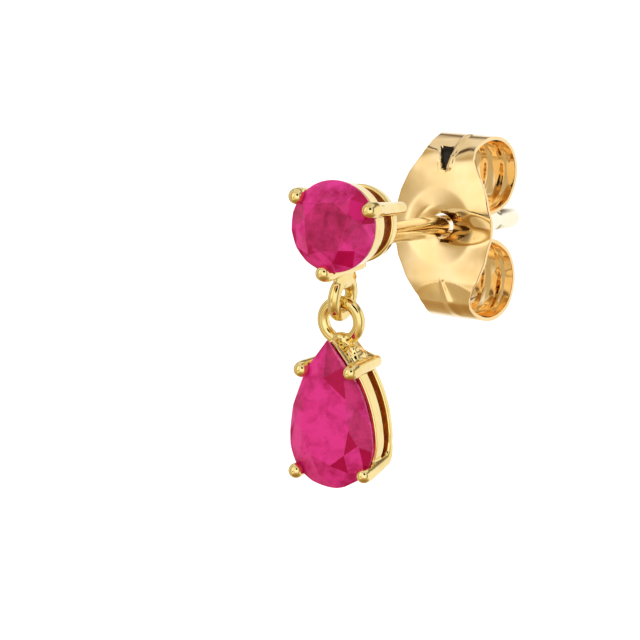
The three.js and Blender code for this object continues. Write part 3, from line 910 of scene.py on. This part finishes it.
def drop_basket(stone):
    pieces = [
        band("front_rail", pear_loop, PEAR_FRONT_RAIL, RAIL_EDGE["drop"]),
        band("back_rail", pear_loop, PEAR_BACK_RAIL, RAIL_EDGE["drop"]),
    ]
    for side in (1, -1):
        pieces.append(pear_prong(UPPER_TURN, side, UPPER_PRONG))
        pieces.append(pear_prong(LOWER_TURN, side, LOWER_PRONG))
        pieces.append(pear_prong(LOWER_TURN, side, ELBOW))
        for name, stations in (("strut", STRUT), ("tip_lip", TIP_LIP)):
            strut = wire(name, [(side * x, y, z, radius) for x, y, z, radius in stations])
            close_up(strut)
            pieces.append(strut)
    pieces += [ball("solder", at, size) for at, size in RING_SOLDER]
    for piece in pieces:
        cut_seat(piece, stone)
    pieces.append(torus("ring", RING, PEAR_SEAT.inverted() @ DROP @ Matrix.Rotation(90 * DEG, 4, "X")))
    basket = fuse("drop_basket", pieces, **DROP_BUFFING)
    done(basket, PEAR_SEAT, "drop", "polished_gold", (GOLD,), "drop_setting")
    line("drop_basket_inside", pear_loop, PEAR_INSIDE, stone, PEAR_SEAT, "drop", "drop_setting")


# ---------------------------------------------------------------- the butterfly back

SCROLL_BASE = POST["radius"] + GAP + CLUTCH["thickness"] / 2
PLATE_Y = -CLUTCH["dish_depth"]


def between_rows(rows, value):
    """The half width at a value, on the straight line between the two rows beside it."""
    if value <= rows[0][0]:
        return rows[0][1]
    for (a, half_a), (b, half_b) in zip(rows, rows[1:]):
        if value <= b:
            share = (value - a) / (b - a)
            return half_a + (half_b - half_a) * share
    return rows[-1][1]


def ease(share):
    """A smooth start and end: 0 up to a share of 0, and 1 from a share of 1."""
    x = min(max(share, 0.0), 1.0)
    return x * x * (3 - 2 * x)


def swell(value, first, grows, last, fades):
    """1 between two places, growing from 0 past the first and fading to 0 before the last."""
    return ease((value - first) / grows) * ease((last - value) / fades)


def dish_at(x, z):
    """How far back the sheet is pressed round its hole."""
    inwards = CONE["radius"] - math.hypot(x, z)
    eased = (inwards + math.hypot(inwards, CONE["eased"])) / 2
    cone = CONE["depth"] * eased / (CONE["radius"] - CLUTCH["hole_radius"])
    reach = math.hypot(x / (FUNNEL["outer"] if x > 0 else FUNNEL["inner"]), z / FUNNEL["half_height"])
    deep = ease((1 - reach) / FUNNEL["slope"])
    return min(cone, CONE["depth"]) + (CLUTCH["dish_depth"] - CONE["depth"]) * deep


def bump(value, width):
    """A rounded ridge: 1 at its middle, and falling away on both sides."""
    return math.exp(-((value / width) ** 2))


def ripple(sizes, x, along):
    """The height of a ripple that runs both across and along the strip."""
    across = math.sin(x / sizes["across"] + sizes["onset"])
    return sizes["height"] * across * math.sin(along / sizes["along"] + RIPPLE_ALONG)


def dart_reach(x, distance):
    """How far a place is inside the dart's edge: 1 on its middle line, 0 at its edge, less outside;
    and how far it is to the right of the dart's side."""
    share = (distance - DART["start"]) / (DART["end"] - DART["start"])
    middle = DART["foot"] + share * (DART["head"] - DART["foot"])
    half = DART["foot_half"] + share * (DART["head_half"] - DART["foot_half"])
    below = max(DART["start"] + DART["foot_half"] - distance, 0.0)
    above = max(distance - DART["end"] + DART["head_ease"], 0.0)
    outwards = math.hypot((x - middle) / half, below / DART["foot_half"], above / DART["head_ease"])
    return 1 - outwards, x - middle - half


def sheet_point(along, across):
    """A point at mid-thickness: along runs in mm from the hole up (+) or down (-) the strip."""
    up = 1 if along >= 0 else -1
    scroll = CLUTCH["upper_scroll"] if up > 0 else CLUTCH["lower_scroll"]
    axis = SCROLL_BASE + scroll
    distance = abs(along)
    if distance <= axis:
        y, z, angle = PLATE_Y, distance, 0.0
        half = between_rows((*PLATE_WIDTHS, (axis, SCROLL_WIDTHS[0][1])), distance)
    else:
        angle = (distance - axis) / scroll
        half = between_rows(SCROLL_WIDTHS, angle / DEG)
        y, z = PLATE_Y + scroll * (1 - math.cos(angle)), axis + scroll * math.sin(angle)
        first, last = (edge * DEG for edge in FLAT_FOLD)
        arch = FOLD_ARCH["bend"] * (across * half - FOLD_ARCH["middle"]) ** 2
        first += min(arch, FOLD_ARCH["most"]) * DEG
        if up < 0 and first < angle < last:
            share = (angle - first) / (last - first)
            y = PLATE_Y + scroll * (1 - (1 - share) * math.cos(first) - share * math.cos(last))
            z = axis + scroll * ((1 - share) * math.sin(first) + share * math.sin(last))
    if up > 0 and across < 0:
        half *= 1 - SHOULDER["share"] * bump(angle / DEG - SHOULDER["at"], SHOULDER["width"])
    x = across * half + CLUTCH["side_shift"]
    dish = dish_at(x, z) if angle == 0 else 0.0
    if dish > CONE["depth"] and x > CLUTCH["hole_radius"]:
        marks = math.sin(z / CHATTER["pitch"] + CHATTER["slant"] * x)
        dish += CHATTER["height"] * marks * ease((dish / CONE["depth"] - 1) * CHATTER["grows"])
    if angle < 90 * DEG:
        fade = math.cos(angle)
        y += fade * (DOME["across"] * x**2 + DOME["along"] * min(distance, axis) ** 2)
    raised = 0.0
    lip_end = DART["end"] + DART["lip_past"]
    if up > 0 and DART["start"] < distance < lip_end:
        reach, beside = dart_reach(x, distance)
        raised = -DART["deep"] * ease(reach / DART["wall"])
        grown = swell(distance, DART["start"], DART["lip_grows"], lip_end, DART["lip_fades"])
        raised += DART["lip"] * grown * bump(beside - DART["lip_beside"], DART["lip_width"])
    if up < 0:
        past = distance - RIDGE["start"]
        middle = RIDGE["x0"] + past * RIDGE["lean"]
        width = RIDGE["half"] * (RIDGE["narrow"] + (1 - RIDGE["narrow"]) * ease(past / RIDGE["widens"]))
        first = RIDGE["start"] - RIDGE["before"]
        grown = swell(distance, first, RIDGE["grows"], RIDGE["end"], RIDGE["fades"])
        raised = grown * RIDGE["height"] * bump(x - middle, width)
    grown = ease((angle / DEG - RIBS_FROM) / RIBS_GROW)
    for place_across, half_width, height in RIBS:
        raised += grown * height * bump(x - place_across, half_width)
    if up > 0:
        raised += swell(angle / DEG, *BUCKLE_TURN) * ripple(BUCKLE, x, along)
    # Off the tool, the wings are never quite even, and less so where the scroll was rolled in.
    for wave in WAVES:
        if wave["from"] * DEG <= angle:
            raised += ripple(wave, x, along)
    raised *= ease(distance / CALM)
    lean = math.tan(CLUTCH["upper_lean"] if up > 0 else CLUTCH["lower_lean"])
    y, z = y - raised * math.cos(angle), z + raised * math.sin(angle)
    return Vector((x + up * z * lean, y + dish, up * z))


def butterfly_back():
    """One strip of sheet gold, dished round its hole, with both ends scrolled round to the post."""
    reach_up = SCROLL_BASE + CLUTCH["upper_scroll"] * (1 + CLUTCH["scroll_end"])
    reach_down = SCROLL_BASE + CLUTCH["lower_scroll"] * (1 + CLUTCH["scroll_end"])
    clear()
    bpy.ops.mesh.primitive_grid_add(x_subdivisions=90, y_subdivisions=330, size=2)
    sheet = added("butterfly_back_gold")
    for vertex in sheet.data.vertices:
        across, share = vertex.co.x, (vertex.co.y + 1) / 2
        vertex.co = sheet_point(-reach_down + share * (reach_down + reach_up), across)
    for finish in STRIP_FINISHES:
        sheet.data.materials.append(finish)
    for face in sheet.data.polygons:
        x, y, z = face.center
        on_front = y < FRONT_DEPTH
        # Right of the hole, the funnel's throat is painted with reflection.
        if on_front and x > 0 and dish_at(x, z) > CONE["depth"] + THROAT:
            face.material_index = STRIP_FINISHES.index(THROAT_PAINTED_REFLECTION)
        # The dart's pocket is painted dark with shade, from a little way in from its edge.
        if on_front and z > DART["start"]:
            scroll = CLUTCH["upper_scroll"]
            axis = SCROLL_BASE + scroll
            lift = math.asin(min(max((z - axis) / scroll, 0.0), 1.0)) * scroll
            across = x - z * math.tan(CLUTCH["upper_lean"])
            if dart_reach(across, axis + lift if z > axis else z)[0] > DART["painted_shade_from"]:
                face.material_index = STRIP_FINISHES.index(DART_PAINTED_SHADE)
    edit(sheet)
    bpy.ops.mesh.normals_make_consistent(inside=False)
    leave()
    modify(sheet, "SOLIDIFY", thickness=CLUTCH["thickness"], offset=0, use_even_offset=True)
    clear()
    bpy.ops.mesh.primitive_cylinder_add(
        vertices=64, radius=CLUTCH["hole_radius"], depth=0.8, rotation=(90 * DEG, 0, 0)
    )
    punch = added("punch")
    modify(sheet, "BOOLEAN", operation="DIFFERENCE", object=punch, solver="EXACT")
    bpy.data.objects.remove(punch)
    modify(sheet, "BEVEL", width=0.03, segments=2, limit_method="ANGLE", angle_limit=50 * DEG)
    smooth_shade(sheet, 40)
    done(sheet, CLUTCH_SEAT, "clutch", "polished_gold", STRIP_FINISHES, "butterfly_back")


# ---------------------------------------------------------------- the studio

CAMERA_TURN = 26.5 * DEG
CAMERA_RISE = 4 * DEG
CAMERA_DISTANCE = 0.5
FRAME_WIDTH = 20.984 * MM
AIM = Vector((-0.306, -2.572, -2.615)) * MM

# The room's light by height above level, in degrees. It is warmer below, as over a wooden bench.
ROOM = (
    (-90, "#9C7A4C"),
    (-55, "#AE9062"),
    (-30, "#E9DAB6"),
    (-8, "#F3F1EA"),
    (8, "#F9F9F9"),
    (35, "#FFFFFF"),
    (52, "#F6F6F6"),
    (90, "#DCDCDC"),
)
# Panels over it, each laid over those before: left and right side in degrees towards +X from
# straight in front or straight behind, low and high side, softness of the edges, colour, strength.
PANELS = (
    ("front", -80, -45, -40, 50, 6, "#CCBEA0", 1.0),
    ("front", -41, -20, -34, 45, 8, "#FFFCF4", 1.35),
    ("front", 6, 64, -24, 34, 9, "#FFFFFF", 1.3),
    ("behind", -78, 104, -36, 42, 12, "#5A3E20", 1.0),
    ("behind", -62, 90, -36, 28, 8, "#FFFFFF", 1.06),
    ("front", -105, 60, 53, 56.5, 1.2, "#4A3018", 1.0),
)
# Round cards over those: direction, radius where it is full and where it ends, colour.
CARDS = (
    ((-0.44, -0.865, -0.242), 6, 13, "#C8B48C"),
    ((0.563, -0.692, 0.4525), 14, 19, "#050403"),
)


def studio():
    back = Vector(
        (
            math.sin(CAMERA_TURN) * math.cos(CAMERA_RISE),
            -math.cos(CAMERA_TURN) * math.cos(CAMERA_RISE),
            math.sin(CAMERA_RISE),
        )
    )
    clear()
    bpy.ops.object.camera_add(location=AIM + back * CAMERA_DISTANCE)
    camera = added("camera")
    camera.rotation_euler = (-back).to_track_quat("-Z", "Y").to_euler()
    camera.data.sensor_width = 36
    camera.data.lens = 36 * CAMERA_DISTANCE / FRAME_WIDTH
    camera.data.clip_start, camera.data.clip_end = 0.01, 10
    bpy.context.scene.camera = camera

    bpy.ops.mesh.primitive_plane_add(size=4, location=(0, 0, -0.03))
    floor = added("floor")
    material, tree, shader = new_material("white_acrylic")
    fill_in(shader, {"Base Color": colour("#FAFAFA"), "Roughness": 0.9})
    fill_in(shader, {"Emission Color": colour("#FFFFFF"), "Emission Strength": 0.5})
    floor.data.materials.append(material)
    floor.visible_glossy = False
    floor.visible_transmission = False
    floor.visible_diffuse = False

    world = bpy.data.worlds.new("studio")
    bpy.context.scene.world = world
    world.use_nodes = True
    tree = world.node_tree
    tree.nodes.clear()
    looks = add_node(tree, "ShaderNodeTexCoord").outputs["Generated"]
    axes = add_node(tree, "ShaderNodeSeparateXYZ", links={"Vector": looks}).outputs
    frontwards = add_node(tree, "ShaderNodeMath", {1: -1.0}, {0: axes["Y"]}, operation="MULTIPLY").outputs[0]

    def reckon(operation, *sources):
        """What one operation makes of one or two outputs."""
        node = add_node(tree, "ShaderNodeMath", None, dict(enumerate(sources)), operation=operation)
        return node.outputs[0]

    azimuths = {
        "front": reckon("ARCTAN2", axes["X"], frontwards),
        "behind": reckon("ARCTAN2", axes["X"], axes["Y"]),
    }
    rise = reckon("ARCSINE", axes["Z"])

    def soften(value, low, high):
        """0 where the value is low and 1 where it is high, with a smooth passage between."""
        limits = {"From Min": low, "From Max": high}
        passage = {"interpolation_type": "SMOOTHSTEP"}
        return add_node(tree, "ShaderNodeMapRange", limits, {"Value": value}, **passage).outputs["Result"]

    def step(value, at, soft, falling=False):
        """1 past the angle at, in degrees, and 0 before it, or the other way round."""
        low, high = (at - soft) * DEG, (at + soft) * DEG
        return soften(value, high, low) if falling else soften(value, low, high)

    def lay(light, mask, code, strength=1.0):
        """Lays one colour of light over the rest, where the mask is 1."""
        mix = add_node(tree, "ShaderNodeMix", None, {"Factor": mask}, data_type="RGBA")
        mix.inputs[7].default_value = colour(code, strength)
        tree.links.new(light, mix.inputs[6])
        return mix.outputs[2]

    def round_card(light, direction, inner, outer, code):
        """A soft-edged round card of light or shade, seen this way from the earring."""
        towards = Vector(direction).normalized()
        facing = add_node(
            tree, "ShaderNodeVectorMath", {1: towards}, {0: looks}, operation="DOT_PRODUCT"
        ).outputs["Value"]
        return lay(light, soften(facing, math.cos(outer * DEG), math.cos(inner * DEG)), code)

    def panel(light, azimuth, left, right, low, high, soft, code, strength):
        """A soft-edged panel between two azimuths, which rise towards +X, and two heights."""
        sides = (
            step(azimuth, left, soft),
            step(azimuth, right, soft, falling=True),
            step(rise, low, soft),
            step(rise, high, soft, falling=True),
        )
        mask = sides[0]
        for side in sides[1:]:
            mask = reckon("MULTIPLY", mask, side)
        return lay(light, mask, code, strength)

    # Height in the room, as a share from straight down to straight up, and its light there.
    share = add_node(
        tree, "ShaderNodeMapRange", {"From Min": -90 * DEG, "From Max": 90 * DEG}, {"Value": rise}
    ).outputs["Result"]
    room = add_node(tree, "ShaderNodeValToRGB", links={"Fac": share})
    for index, (height, code) in enumerate(ROOM):
        at = (height + 90) / 180
        stop = room.color_ramp.elements[index] if index < 2 else room.color_ramp.elements.new(at)
        stop.position = at
        stop.color = colour(code)
    light = room.outputs["Color"]
    for side, *edges_and_light in PANELS:
        light = panel(light, azimuths[side], *edges_and_light)
    for card in CARDS:
        light = round_card(light, *card)
    ray = add_node(tree, "ShaderNodeLightPath").outputs["Is Camera Ray"]
    sky = add_node(tree, "ShaderNodeMix", None, {"Factor": ray, 6: light}, data_type="RGBA")
    sky.inputs[7].default_value = (1, 1, 1, 1)
    background = add_node(tree, "ShaderNodeBackground", {"Strength": 1.0}, {"Color": sky.outputs[2]})
    add_node(tree, "ShaderNodeOutputWorld", links={"Surface": background.outputs["Background"]})
    scene = bpy.context.scene
    scene.view_settings.view_transform = "Standard"
    scene.view_settings.look = "None"


studio()

round_stone = round_ruby()
round_seat = seat_cutter(round_stone, ROUND["height"])
stud_basket(round_seat)
bpy.data.objects.remove(round_seat)
round_place = HEAD @ Matrix.Translation((0, 0, ROUND["height"]))
set_stone(round_stone, round_place, "stud", "round_ruby", ROUND_MIDDLE, ROUND_DEEP)
ear_post()

pear_stone = pear_ruby()
pear_seat = seat_cutter(pear_stone, 0)
drop_basket(pear_seat)
bpy.data.objects.remove(pear_seat)
set_stone(pear_stone, PEAR_SEAT, "drop", "pear_ruby", PEAR_MIDDLE, PEAR_DEEP)

butterfly_back()
